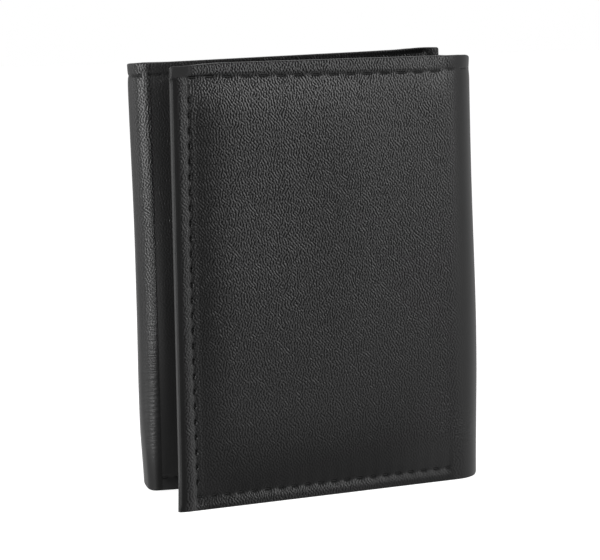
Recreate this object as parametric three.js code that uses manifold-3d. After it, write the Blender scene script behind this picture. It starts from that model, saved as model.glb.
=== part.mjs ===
// A trifold leather wallet that stands on its short edge, slightly sprung open.
// Millimetres, Z up, front towards -Y. The back panel carries a fold on each side:
// the right fold leads to the front flap, the left one to the inner flap between them.

import * as THREE from "three";
import { mergeVertices } from "three/addons/utils/BufferGeometryUtils.js";
import Module from "manifold-3d";

const wasm = await Module();
wasm.setup();

// Panels
const HEIGHT = 108; // back panel and front flap
const BACK_WIDTH = 70.5; // flat part between the folds
const FRONT_EXTRA = 6.05; // front flap beyond the back panel's width, at its foot
const INNER_EXTRA = 5.1; // inner flap beyond that width
const EDGE_LEAN = 0.55; // free edge of the front flap leans in by this at the top
const INNER_FOOT = 0.65; // lower edge of the inner flap above the ground
const TIP_RISE = 1.8; // tip of the inner flap above the other panels
const CORNER_DROP = 0.6; // free top corner of the front flap hangs by this
const CORNER_RUN = 15; // length over which it hangs
const CORNER_ROUND = 0.6;
const TIP_ROUND = 0.7;

// Folds
const FRONT_AJAR = 9.5; // degrees that the front flap stands off the closed position
const INNER_AJAR = 2.5; // degrees, inner flap
const RIGHT_RADIUS = 12; // outer radius
const LEFT_RADIUS = 4.5;
const RIGHT_FOOT_REACH = 1.045; // sideways reach of the right fold at its foot, over its radius
const RIGHT_TOP_REACH = 1;
const LEFT_FOOT_REACH = 0.9;
const LEFT_TOP_REACH = 1.07;
const RIGHT_LIFT = 1.2; // lower edge of the right fold rises by this at the bend
const LEFT_LIFT = 1.4;
const JOIN = 0.3; // between a fold and the panel that carries it on
const FOLD_STEPS = 18;
const FOLLOW = 0.375; // turn of a left crease for each degree of a right one

// Plies
const LEATHER = 1.0;
const TURN_IN = 0.8; // hem folded back inside the shell
const HEM = 9; // width of that hem
const LINING = 0.3;
const BILL_SLOT = 0.4; // between the hem and the divider
const DIVIDER = 0.4;
const POCKET = 0.45; // leather of one card pocket
const FRAME = 0.5; // leather of the identity-card frame
const VINYL = 0.2; // clear window
const PLY_GAP = 0.1; // between neighbouring plies
const EDGE_ROUND = 0.12; // worn edge of a leather ply
const CLOTH_ROUND = 0.05; // edge of the lining and the vinyl
const SHELL_ROUND = 0.3; // worn edge of the shell

// Inner pieces
const EDGE_INSET = 2; // divider and pockets back from a free edge
const FOOT_INSET = 1.2; // and up from the lower edge
const DIVIDER_DROP = 3; // divider's top below the shell's top
const POCKET_COUNT = 3;
const POCKET_DROP = 16; // first pocket's top below the shell's top
const POCKET_STEP = 12;
const BACK_POCKET_MARGIN = 3.2; // each side of the back panel
const FRONT_POCKET_START = 12.6; // clear of the right fold
const FRAME_START = 4; // clear of the left fold
const NOTCH_HALF = 13; // thumb notch of a pocket
const NOTCH_DEPTH = 3;
const POCKET_ROUND = 1.6;
const WINDOW_BORDER = 8; // leather round the clear window
const WINDOW_LAP = 5; // vinyl held under the frame
const WINDOW_ROUND = 5;
const FRAME_DROP = 14; // frame's top below the shell's top

// Seams
const STITCH = 3.7;
const TOP_STITCH = 4.8; // longer along the hems
const THREAD = 0.6;
const GROOVE_DEPTH = 0.35;
const THREAD_FIT = 0.12; // round the thread in its groove
const THREAD_CREST = 0.03; // middle of a stitch below the leather's face
const THREAD_SINK = 0.16; // ends of a stitch below it
const TOP_SEAM = 3.4; // below the top edge
const EDGE_SEAM = 4.35; // from a free edge
const BOTTOM_SEAM = 3.4; // above the lower edge
const SEAM_END = 0.8; // last stitch short of a fold

const UP = new THREE.Vector3(0, 0, 1);
const FRONT_LENGTH = BACK_WIDTH + FRONT_EXTRA; // right fold to free edge
const INNER_LENGTH = BACK_WIDTH + INNER_EXTRA; // left fold to tip
const GROOVE = THREAD + 2 * THREAD_FIT;
const SHELL = LEATHER + TURN_IN;
const DIVIDER_AT = SHELL + BILL_SLOT;
const POCKETS_AT = DIVIDER_AT + DIVIDER + PLY_GAP;
const OUTSIDE = 2; // reach of a cutter past the surface it opens

const frontAjar = THREE.MathUtils.degToRad(FRONT_AJAR);
const innerAjar = THREE.MathUtils.degToRad(INNER_AJAR);

const rightFold = {
  start: BACK_WIDTH / 2,
  side: 1,
  radius: RIGHT_RADIUS,
  bend: Math.PI - frontAjar,
  footReach: RIGHT_FOOT_REACH,
  topReach: RIGHT_TOP_REACH,
  foot: 0,
  lift: RIGHT_LIFT,
};
const leftFold = {
  start: -BACK_WIDTH / 2,
  side: -1,
  radius: LEFT_RADIUS,
  bend: Math.PI - innerAjar,
  footReach: LEFT_FOOT_REACH,
  topReach: LEFT_TOP_REACH,
  foot: INNER_FOOT,
  lift: LEFT_LIFT,
};

function finish(colour, roughness, metalness = 0) {
  return new THREE.MeshStandardMaterial({ color: colour, roughness, metalness });
}

function node(name, geometry, material) {
  const mesh = new THREE.Mesh(geometry, material);
  mesh.name = name;
  return mesh;
}

const shellLeather = () => finish(0x2d2d2e, 0.5);
const pocketLeather = () => finish(0x2a2a2b, 0.55);
const dividerLeather = () => finish(0x262627, 0.6);
const liningCloth = () => finish(0x1b1b1d, 0.75);
const threadBlack = () => finish(0x141415, 0.65);

function clearVinyl() {
  const vinyl = finish(0xd5d8da, 0.15);
  vinyl.transparent = true;
  vinyl.opacity = 0.35;
  return vinyl;
}

// Closed outline in the panel's plane, from corners [x, z, radius].
function outline(corners) {
  const shape = new THREE.Shape();
  corners.forEach(([x, z, radius], i) => {
    const before = corners[(i + corners.length - 1) % corners.length];
    const after = corners[(i + 1) % corners.length];
    const corner = new THREE.Vector2(x, z);
    const from = new THREE.Vector2(before[0], before[1]).sub(corner).setLength(radius).add(corner);
    const to = new THREE.Vector2(after[0], after[1]).sub(corner).setLength(radius).add(corner);
    if (i === 0) shape.moveTo(from.x, from.y);
    else shape.lineTo(from.x, from.y);
    if (radius > 0) shape.quadraticCurveTo(x, z, to.x, to.y);
  });
  shape.closePath();
  return shape;
}

function rectangle(x0, x1, z0, z1, radius) {
  return outline([
    [x0, z0, radius],
    [x1, z0, radius],
    [x1, z1, radius],
    [x0, z1, radius],
  ]);
}

// A ply between two depths below the panel's outer face. inward is the sense of Y into the wallet.
function ply(shape, near, far, inward, round = EDGE_ROUND) {
  const solid = new THREE.ExtrudeGeometry(shape, {
    depth: far - near - 2 * round,
    bevelThickness: round,
    bevelSize: round,
    bevelOffset: -round,
    bevelSegments: 1,
    curveSegments: 4,
  });
  solid.rotateX(Math.PI / 2);
  solid.translate(0, (inward > 0 ? far : -near) - round, 0);
  return solid;
}

function toManifold(geometry) {
  const plain = geometry.clone();
  plain.deleteAttribute("normal");
  plain.deleteAttribute("uv");
  const merged = mergeVertices(plain, 1e-4);
  return new wasm.Manifold(
    new wasm.Mesh({
      numProp: 3,
      vertProperties: new Float32Array(merged.attributes.position.array),
      triVerts: new Uint32Array(merged.index.array),
    }),
  );
}

function cut(geometry, cutters) {
  let solid = toManifold(geometry);
  for (const cutter of cutters) solid = solid.subtract(toManifold(cutter));
  const mesh = solid.getMesh();
  const result = new THREE.BufferGeometry();
  result.setAttribute("position", new THREE.BufferAttribute(new Float32Array(mesh.vertProperties), 3));
  result.setIndex(new THREE.BufferAttribute(new Uint32Array(mesh.triVerts), 1));
  const flat = result.toNonIndexed();
  flat.computeVertexNormals();
  return flat;
}

function block(x0, x1, z0, z1, near, far, inward) {
  const box = new THREE.BoxGeometry(x1 - x0, far - near, z1 - z0);
  box.translate((x0 + x1) / 2, (inward * (near + far)) / 2, (z0 + z1) / 2);
  return box;
}

// Closed solid through a row of four-cornered rings.
function sweep(rings) {
  const points = rings.flat();
  const index = [];
  const quad = (a, b, c, d) => index.push(a, b, c, a, c, d);
  for (let i = 0; i + 1 < rings.length; i++) {
    for (let k = 0; k < 4; k++) {
      const next = (k + 1) % 4;
      quad(4 * i + k, 4 * i + next, 4 * (i + 1) + next, 4 * (i + 1) + k);
    }
  }
  const last = 4 * (rings.length - 1);
  quad(3, 2, 1, 0);
  quad(last, last + 1, last + 2, last + 3);
  let volume = 0;
  for (let i = 0; i < index.length; i += 3) {
    const [a, b, c] = index.slice(i, i + 3).map((k) => points[k]);
    volume += a.dot(b.clone().cross(c));
  }
  if (volume < 0) index.reverse();
  const geometry = new THREE.BufferGeometry().setFromPoints(points);
  geometry.setIndex(index);
  const flat = geometry.toNonIndexed();
  flat.computeVertexNormals();
  return flat;
}

// Point of a fold: turn is 0 on the back panel, depth is measured in from the outer skin.
function foldPoint(fold, turn, depth, z) {
  const share = THREE.MathUtils.lerp(fold.footReach, fold.topReach, z / HEIGHT);
  const reach = fold.radius - depth;
  const x = fold.start + fold.side * share * reach * Math.sin(turn);
  return new THREE.Vector3(x, -fold.radius + reach * Math.cos(turn), z);
}

function foldSheet(fold, near, far, footAt, top, spare = JOIN / 2) {
  const margin = spare / fold.radius;
  const rings = [];
  for (let i = 0; i <= FOLD_STEPS; i++) {
    const turn = THREE.MathUtils.lerp(margin, fold.bend - margin, i / FOLD_STEPS);
    const foot = footAt(turn);
    rings.push([
      foldPoint(fold, turn, near, foot),
      foldPoint(fold, turn, near, top),
      foldPoint(fold, turn, far, top),
      foldPoint(fold, turn, far, foot),
    ]);
  }
  return sweep(rings);
}

// Thread along stations { at, out, side }: it rises in the middle of a stitch and dips at its ends.
function thread(stations) {
  return sweep(
    stations.map(({ at, out, side }, i) => {
      const crest = i % 2 ? -THREAD_CREST : -THREAD_SINK;
      const root = THREAD_FIT - GROOVE_DEPTH;
      const corner = (height, reach) =>
        at.clone().addScaledVector(out, height).addScaledVector(side, (reach * THREAD) / 2);
      return [corner(root, -1), corner(crest, -1), corner(crest, 1), corner(root, 1)];
    }),
  );
}

function stitchCount(length, stitch) {
  return Math.max(1, Math.round(length / stitch));
}

// Seam on a flat panel, from [x, z] to [x, z] on its outer face.
function straightThread(from, to, stitch, inward) {
  const a = new THREE.Vector3(from[0], 0, from[1]);
  const b = new THREE.Vector3(to[0], 0, to[1]);
  const out = new THREE.Vector3(0, -inward, 0);
  const side = b.clone().sub(a).normalize().cross(out);
  const steps = 2 * stitchCount(a.distanceTo(b), stitch);
  const stations = [];
  for (let i = 0; i <= steps; i++) {
    stations.push({ at: a.clone().lerp(b, i / steps), out, side });
  }
  return thread(stations);
}

function straightGroove(from, to, inward) {
  const run = Math.hypot(to[0] - from[0], to[1] - from[1]);
  const bar = block(
    -run / 2 - THREAD_FIT,
    run / 2 + THREAD_FIT,
    -GROOVE / 2,
    GROOVE / 2,
    -OUTSIDE,
    GROOVE_DEPTH,
    inward,
  );
  bar.rotateY(-Math.atan2(to[1] - from[1], to[0] - from[0]));
  bar.translate((from[0] + to[0]) / 2, 0, (from[1] + to[1]) / 2);
  return bar;
}

// Seams as two ends and a stitch length, named for their threads.
function seamNodes(prefix, seams, inward) {
  return Object.entries(seams).map(([name, [from, to, stitch]]) =>
    node(`${prefix}_${name}_thread`, straightThread(from, to, stitch, inward), threadBlack()),
  );
}

function seamGrooves(seams, inward) {
  return Object.values(seams).map(([from, to]) => straightGroove(from, to, inward));
}

// Card pockets one over the other, each with a lower top and a thumb notch.
function cardPockets(prefix, x0, x1, inward) {
  const middle = (x0 + x1) / 2;
  const pockets = [];
  for (let i = 0; i < POCKET_COUNT; i++) {
    const top = HEIGHT - POCKET_DROP - i * POCKET_STEP;
    const shape = outline([
      [x0, FOOT_INSET, POCKET_ROUND],
      [x1, FOOT_INSET, POCKET_ROUND],
      [x1, top, POCKET_ROUND],
      [middle + NOTCH_HALF, top, POCKET_ROUND],
      [middle, top - 2 * NOTCH_DEPTH, NOTCH_HALF - POCKET_ROUND],
      [middle - NOTCH_HALF, top, POCKET_ROUND],
      [x0, top, POCKET_ROUND],
    ]);
    const near = POCKETS_AT + i * (POCKET + PLY_GAP);
    const leather = ply(shape, near, near + POCKET, inward);
    pockets.push(node(`${prefix}_card_pocket_${i + 1}`, leather, pocketLeather()));
  }
  return pockets;
}

function liningPly(x0, x1, z0, z1, inward) {
  const near = LEATHER + PLY_GAP;
  return ply(rectangle(x0, x1, z0, z1, POCKET_ROUND), near, near + LINING, inward, CLOTH_ROUND);
}

function dividerPly(x0, x1, z0, inward) {
  const shape = rectangle(x0, x1, z0, HEIGHT - DIVIDER_DROP, POCKET_ROUND);
  return ply(shape, DIVIDER_AT, DIVIDER_AT + DIVIDER, inward);
}

function backPanel() {
  const inward = -1;
  const half = BACK_WIDTH / 2 - JOIN / 2;
  const seamHalf = BACK_WIDTH / 2 - SEAM_END;
  const seams = {
    top: [[-seamHalf, HEIGHT - TOP_SEAM], [seamHalf, HEIGHT - TOP_SEAM], TOP_STITCH],
    bottom: [[-seamHalf, BOTTOM_SEAM], [seamHalf, BOTTOM_SEAM], STITCH],
  };
  const blank = ply(rectangle(-half, half, 0, HEIGHT, 0), 0, SHELL, inward, SHELL_ROUND);
  const recess = block(
    -half - OUTSIDE,
    half + OUTSIDE,
    HEM,
    HEIGHT - HEM,
    LEATHER,
    SHELL + OUTSIDE,
    inward,
  );
  const pocketHalf = BACK_WIDTH / 2 - BACK_POCKET_MARGIN;
  const panel = new THREE.Group();
  panel.name = "back_panel";
  panel.add(
    node("back_shell", cut(blank, [recess, ...seamGrooves(seams, inward)]), shellLeather()),
    node("back_lining", liningPly(-half, half, HEM + JOIN, HEIGHT - HEM - JOIN, inward), liningCloth()),
    node("back_divider", dividerPly(-half, half, FOOT_INSET, inward), dividerLeather()),
    ...cardPockets("back", -pocketHalf, pocketHalf, inward),
    ...seamNodes("back", seams, inward),
  );
  return panel;
}

function frontFlap() {
  const inward = 1;
  const free = -FRONT_LENGTH;
  const root = -JOIN / 2;
  const edgeAt = (z) => free + (EDGE_LEAN * z) / HEIGHT;
  const seamAt = (z) => edgeAt(z) + EDGE_SEAM;
  const topZ = HEIGHT - TOP_SEAM;
  const upperZ = topZ - STITCH;
  const lowerZ = BOTTOM_SEAM + STITCH;
  const seams = {
    top: [[seamAt(topZ), topZ], [-SEAM_END, topZ], TOP_STITCH],
    edge: [[seamAt(upperZ), upperZ], [seamAt(lowerZ), lowerZ], STITCH],
    bottom: [[seamAt(BOTTOM_SEAM), BOTTOM_SEAM], [-SEAM_END, BOTTOM_SEAM], STITCH],
  };
  const shape = outline([
    [free, 0, CORNER_ROUND],
    [root, 0, 0],
    [root, HEIGHT, 0],
    [free + CORNER_RUN, HEIGHT, CORNER_RUN / 2],
    [edgeAt(HEIGHT), HEIGHT - CORNER_DROP, CORNER_ROUND],
  ]);
  const recess = block(free + HEM, OUTSIDE, HEM, HEIGHT - HEM, LEATHER, SHELL + OUTSIDE, inward);
  const blank = ply(shape, 0, SHELL, inward, SHELL_ROUND);
  const lining = liningPly(free + HEM + JOIN, root, HEM + JOIN, HEIGHT - HEM - JOIN, inward);
  const flap = new THREE.Group();
  flap.name = "front_flap";
  flap.add(
    node("front_shell", cut(blank, [recess, ...seamGrooves(seams, inward)]), shellLeather()),
    node("front_lining", lining, liningCloth()),
    node("front_divider", dividerPly(free + EDGE_INSET, root, FOOT_INSET, inward), dividerLeather()),
    ...cardPockets("front", free + EDGE_INSET, -FRONT_POCKET_START, inward),
    ...seamNodes("front", seams, inward),
  );
  flap.position.copy(foldPoint(rightFold, rightFold.bend, 0, 0));
  flap.rotation.z = frontAjar;
  return flap;
}

function innerFlap() {
  const inward = 1;
  const root = JOIN / 2;
  const seamX = INNER_LENGTH - EDGE_SEAM;
  const topAt = (x) => HEIGHT + (TIP_RISE * x) / INNER_LENGTH;
  const bottomZ = INNER_FOOT + BOTTOM_SEAM;
  const seams = {
    top: [[SEAM_END, topAt(0) - TOP_SEAM], [seamX, topAt(seamX) - TOP_SEAM], TOP_STITCH],
    edge: [[seamX, topAt(seamX) - TOP_SEAM - STITCH], [seamX, bottomZ + STITCH], STITCH],
    bottom: [[SEAM_END, bottomZ], [seamX, bottomZ], STITCH],
  };
  const shape = outline([
    [root, INNER_FOOT, 0],
    [INNER_LENGTH, INNER_FOOT, TIP_ROUND],
    [INNER_LENGTH, topAt(INNER_LENGTH), TIP_ROUND],
    [root, topAt(root), 0],
  ]);
  const recessEnd = INNER_LENGTH - HEM;
  const recessFoot = INNER_FOOT + HEM;
  const recess = block(-OUTSIDE, recessEnd, recessFoot, HEIGHT - HEM, LEATHER, SHELL + OUTSIDE, inward);
  const blank = ply(shape, 0, SHELL, inward, SHELL_ROUND);
  const lining = liningPly(root, recessEnd - JOIN, recessFoot + JOIN, HEIGHT - HEM - JOIN, inward);
  const foot = INNER_FOOT + FOOT_INSET;
  const end = INNER_LENGTH - EDGE_INSET;
  const frameTop = HEIGHT - FRAME_DROP;
  const border = WINDOW_BORDER;
  const frameShape = rectangle(FRAME_START, end, foot, frameTop, POCKET_ROUND);
  frameShape.holes.push(
    rectangle(FRAME_START + border, end - border, foot + border, frameTop - border, WINDOW_ROUND),
  );
  const lap = WINDOW_BORDER - WINDOW_LAP;
  const windowShape = rectangle(FRAME_START + lap, end - lap, foot + lap, frameTop - lap, POCKET_ROUND);
  const vinylAt = POCKETS_AT;
  const frameAt = vinylAt + VINYL + PLY_GAP;
  const flap = new THREE.Group();
  flap.name = "inner_flap";
  flap.add(
    node("inner_shell", cut(blank, [recess, ...seamGrooves(seams, inward)]), shellLeather()),
    node("inner_lining", lining, liningCloth()),
    node("inner_divider", dividerPly(root, end, foot, inward), dividerLeather()),
    node("id_window", ply(windowShape, vinylAt, vinylAt + VINYL, inward, CLOTH_ROUND), clearVinyl()),
    node("id_frame", ply(frameShape, frameAt, frameAt + FRAME, inward), pocketLeather()),
    ...seamNodes("inner", seams, inward),
  );
  flap.position.copy(foldPoint(leftFold, leftFold.bend, 0, HEIGHT)).setZ(0);
  flap.rotation.z = -innerAjar;
  return flap;
}

function foldNodes(name, fold) {
  const seamZ = HEIGHT - TOP_SEAM;
  const rising = (turn) => fold.foot + fold.lift * Math.sin((turn * Math.PI) / fold.bend) ** 4;
  const level = (z) => () => z;
  const blank = foldSheet(fold, 0, LEATHER, rising, HEIGHT);
  const groove = foldSheet(fold, -OUTSIDE, GROOVE_DEPTH, level(seamZ - GROOVE / 2), seamZ + GROOVE / 2, 0);
  const liningAt = LEATHER + PLY_GAP;
  const lining = foldSheet(fold, liningAt, liningAt + LINING, level(HEM + JOIN), HEIGHT - HEM - JOIN);
  const dividerFoot = level(fold.foot + fold.lift + FOOT_INSET);
  const dividerTop = HEIGHT - DIVIDER_DROP;
  const divider = foldSheet(fold, DIVIDER_AT, DIVIDER_AT + DIVIDER, dividerFoot, dividerTop);
  const margin = SEAM_END / fold.radius;
  const steps = 2 * stitchCount(fold.radius * (fold.bend - 2 * margin), TOP_STITCH);
  const stations = [];
  for (let i = 0; i <= steps; i++) {
    const turn = THREE.MathUtils.lerp(margin, fold.bend - margin, i / steps);
    const out = new THREE.Vector3(fold.side * Math.sin(turn), Math.cos(turn), 0);
    stations.push({ at: foldPoint(fold, turn, 0, seamZ), out, side: UP });
  }
  const spine = new THREE.Group();
  spine.name = name.replace("fold", "spine");
  spine.add(
    node(`${name}_leather`, cut(blank, [groove]), shellLeather()),
    node(`${name}_lining`, lining, liningCloth()),
    node(`${name}_divider`, divider, dividerLeather()),
    node(`${name}_thread`, thread(stations), threadBlack()),
  );
  return spine;
}

// Each fold bends at two upright creases, placed so that the leather keeps its length.
function creases(fold) {
  const share = fold.bend / 2;
  const reach = (fold.radius * share) / (2 * Math.sin(share / 2));
  return [share / 2, 1.5 * share].map(
    (turn) =>
      new THREE.Vector3(
        fold.start + fold.side * reach * Math.sin(turn),
        -fold.radius + reach * Math.cos(turn),
        0,
      ),
  );
}

function hinge(point, side, range) {
  return { origin: point.toArray(), axis: [0, 0, side], range };
}

function jointAxes(shift) {
  const [rightNear, rightFar] = creases(rightFold).map((p) => p.add(shift));
  const [leftNear, leftFar] = creases(leftFold).map((p) => p.add(shift));
  const openRight = (180 - FRONT_AJAR) / 2;
  const shutLeft = INNER_AJAR / 2;
  const right = [-shutLeft / FOLLOW, openRight];
  const left = [-shutLeft, openRight * FOLLOW];
  return {
    right_spine_fold: hinge(rightNear, 1, right),
    front_flap_fold: hinge(rightFar, 1, right),
    left_spine_fold: hinge(leftNear, -1, left),
    inner_flap_fold: hinge(leftFar, -1, left),
  };
}

const wallet = new THREE.Group();
wallet.name = "trifold_wallet";
wallet.add(
  backPanel(),
  foldNodes("right_fold", rightFold),
  frontFlap(),
  foldNodes("left_fold", leftFold),
  innerFlap(),
);

// The origin is under the middle of the standing wallet.
wallet.updateMatrixWorld(true);
const extent = new THREE.Box3().setFromObject(wallet, true);
const middle = extent.getCenter(new THREE.Vector3());
wallet.position.set(-middle.x, -middle.y, -extent.min.z);
wallet.userData.joints = jointAxes(wallet.position);

export default wallet;
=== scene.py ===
import math
from dataclasses import dataclass

import bmesh
import bpy
import numpy as np
from mathutils import Matrix, Vector

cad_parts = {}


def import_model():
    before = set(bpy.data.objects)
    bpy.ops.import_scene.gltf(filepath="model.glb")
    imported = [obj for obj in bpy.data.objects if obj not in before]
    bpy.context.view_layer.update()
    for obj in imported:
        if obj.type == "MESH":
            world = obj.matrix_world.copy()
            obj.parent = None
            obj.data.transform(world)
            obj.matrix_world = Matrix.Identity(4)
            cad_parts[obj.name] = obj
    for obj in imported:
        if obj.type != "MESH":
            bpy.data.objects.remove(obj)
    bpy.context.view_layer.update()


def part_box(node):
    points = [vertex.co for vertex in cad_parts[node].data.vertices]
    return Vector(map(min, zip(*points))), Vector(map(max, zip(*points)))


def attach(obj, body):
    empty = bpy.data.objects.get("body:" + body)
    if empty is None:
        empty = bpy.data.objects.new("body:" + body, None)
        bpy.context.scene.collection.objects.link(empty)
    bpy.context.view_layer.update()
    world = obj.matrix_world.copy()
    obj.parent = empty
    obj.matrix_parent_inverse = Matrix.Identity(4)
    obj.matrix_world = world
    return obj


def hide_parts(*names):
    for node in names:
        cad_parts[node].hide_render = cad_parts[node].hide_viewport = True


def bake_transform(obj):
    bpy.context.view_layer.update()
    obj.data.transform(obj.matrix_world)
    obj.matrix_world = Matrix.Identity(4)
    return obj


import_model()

MM = 0.001  # metres in a millimetre

# Sizes of the wallet in millimetres, as in its solids; a ply lies AT a depth below the outer skin
HEIGHT = 108.0
BACK_WIDTH = 70.5
FRONT_LENGTH = 76.55  # right fold to free edge
INNER_LENGTH = 75.6  # left fold to tip
INNER_FOOT = 0.65
TIP_RISE = 1.8
CORNER_DROP, CORNER_RUN = 0.6, 15.0  # fall of the front flap's top edge at its free corner
EDGE_LEAN = 0.55  # of the front flap's free edge
FRONT_AJAR, INNER_AJAR = math.radians(9.5), math.radians(2.5)
LEATHER = 1.0
SHELL = 1.8  # leather with its turned hem
HEM, HEM_STEP = 9.0, 0.6
JOIN = 0.3
LINING_AT, LINING = 1.1, 0.3
DIVIDER_AT, DIVIDER, DIVIDER_DROP = 2.2, 0.4, 3.0
POCKETS_AT, POCKET, PLY_GAP = 2.7, 0.45, 0.1
POCKET_COUNT, POCKET_DROP, POCKET_STEP = 3, 16.0, 12.0
POCKET_ROUND = 1.6
NOTCH_HALF, NOTCH_DEPTH = 13.0, 3.0
BACK_POCKET_MARGIN = 3.2
FRONT_POCKET_START = 12.6
EDGE_INSET, FOOT_INSET = 2.0, 1.2
FRAME_START, FRAME_DROP, FRAME = 4.0, 14.0, 0.5
WINDOW_BORDER, WINDOW_LAP, WINDOW_ROUND = 8.0, 5.0, 5.0
VINYL = 0.2

# Seams: pitch, and the part of it that a stitch's thread shows
STITCH, TOP_STITCH = 3.7, 4.8
EDGE_SHOWN, TOP_SHOWN, FOOT_SHOWN = 0.2, 0.5, 0.42
THREAD_RADIUS = 0.18
EDGE_SEAM, EDGE_BOW = 4.35, 0.5  # distance from a free edge, and the bow of the front flap's seam
EDGE_SHIFT = 2.35  # start of the stitches along the front flap's free edge
BOTTOM_SEAM = 3.4
# Top hem's seam on the front flap: places along it, and its distance from the top edge there
FRONT_HEM_SEAM = ((0, 3.5), (5, 3.9), (22, 3.87), (40, 3.6), (60, 3.4), (71, 2.9))
# Pits in which the stitches lie: part of the pitch, depth and width
TOP_PITS, FOLD_PITS, FOOT_PITS = (0.55, 0.26, 0.26), (0.55, 0.2, 0.26), (0.42, 0.3, 0.3)
FRONT_EDGE_PITS, FRONT_FOOT_PITS = (0.32, 0.45, 0.38), (0.46, 0.32, 0.28)
INNER_EDGE_PITS = (0.2, 0.36, 0.24)
PIT_SHADE, DARKEST = 3.2, 0.95  # painted shade over a pit's depth, and the darkest painted shade

# Shape of the leather along its edges and seams
EDGE_ROUND, TOP_ROUND, FOOT_ROUND = 0.28, 0.35, 0.4
RIM_HOLLOW = 0.1
EDGE_CREST = 0.5  # ridge beside a free edge, over the seam's distance
SHOULDER, ROLL = 0.55, 0.24  # fall of the ridge towards the edge and towards the seam
DRAWN, DRAWN_RUN = 0.75, 9.0  # how deep the stitches beside a free edge draw the panel in, how far
HEM_DRAWN, HEM_RUN = 0.4, 7.0  # the same for the top hem's seam
FOLD_GROOVE, FOLD_GROOVE_WIDTH = 0.13, 1.5  # along that seam on the folds
HEM_TAB, TAB_DROP = 4.7, 2.4  # end of the top hem, lapped over the free edge: length and height
GRAIN_FADE = (-5.5, 3.5)  # from the right fold to the flats beside it
TOP_WEAR, RUB_WIDTH = 0.08, 0.25  # rubbed line along the edges
LEAF_LAP = 0.007  # turn by which the plies inside a fold's halves lap

# Plies inside: rounding, creased line below the top edge with painted shade in it, rubbed edge
PLY_ROUND, FRAME_ROUND = 0.16, 0.18
CREASE_INSET, POCKET_CREASE, DIVIDER_CREASE = 1.7, 0.16, 0.12
CREASE_SHADE, CREASE_DARKEST = 5, 0.7
PLY_WEAR, PLY_RUB_WIDTH = 0.4, 0.3

# Painted layers of a sheet: their values on its back and its rim. The second layer is painted
# shade, which also darkens every rim; the third is rubbed wear together with painted highlights,
# and lightens every rim; the fourth is polish, which also paints a sheen on the front flap.
LAYERS = {"grain": (0.1, 0), "painted_shade": (0, 0.6), "wear_and_highlight": (0, 0.15), "polish_and_sheen": (0, 0), "crease": (0, 0)}
SKIN_SPAN = 100  # millimetres of skin in one unit of the grain's UV map
# Bands of close grid lines: at the edges, and up to and about the bottom and top seams
EDGE_BAND, FOOT_BAND, TOP_BAND = 0.5, 5.6, (102.5, 107.3)

# Camera: its place in millimetres from the foot of the back panel's middle, and its axes
CAMERA = (-204.35, -630.76, 119.02)
CAMERA_RIGHT = (0.948005, -0.317421, -0.023053)
CAMERA_UP = (0.054115, 0.089392, 0.994525)
CAMERA_BACK = (-0.313622, -0.944062, 0.101922)
SENSOR, LENS = 36, 155.46

# Lamps: place, target and size in metres, watts
LAMPS = {
    "right_softbox": ((0.664, -0.578, 0.25), (0, 0, 0.06), (0.6, 0.38), 4.35),
    "left_softbox": ((-0.615, -0.645, 0.15), (0, 0, 0.06), (0.68, 0.3), 12),
    "side_softbox": ((-0.83, 0.3, 0.15), (0, 0, 0.06), (0.7, 0.3), 2.0),
    "top_softbox": ((0.1, -0.1, 1.1), (0, 0, 0), (0.9, 0.9), 2),
}
WORLD_LIGHT, WORLD_SEEN = 0.2, 1.0
FLOOR_HALF, FLOOR_GLOW = 6, 0.88


# Profiles
def ramp(x, a, b):
    t = np.clip((np.asarray(x) - a) / (b - a), 0, 1)
    return t * t * (3 - 2 * t)


def bell(x, width):
    return np.exp(-np.square(np.asarray(x) / width))


def rounding(distance, radius):
    d = np.clip(distance, 0, radius)
    return radius - np.sqrt(np.maximum(radius**2 - (radius - d) ** 2, 0))


def ripple(u, v, seed):
    """Slow unevenness of soft leather, -1 to 1."""
    waves = np.sin(0.11 * u + 0.07 * v + seed) + np.sin(0.05 * u - 0.13 * v + 2.1 * seed)
    return (waves + np.sin(0.19 * u + 0.031 * v + 3.7 * seed)) / 3


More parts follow.
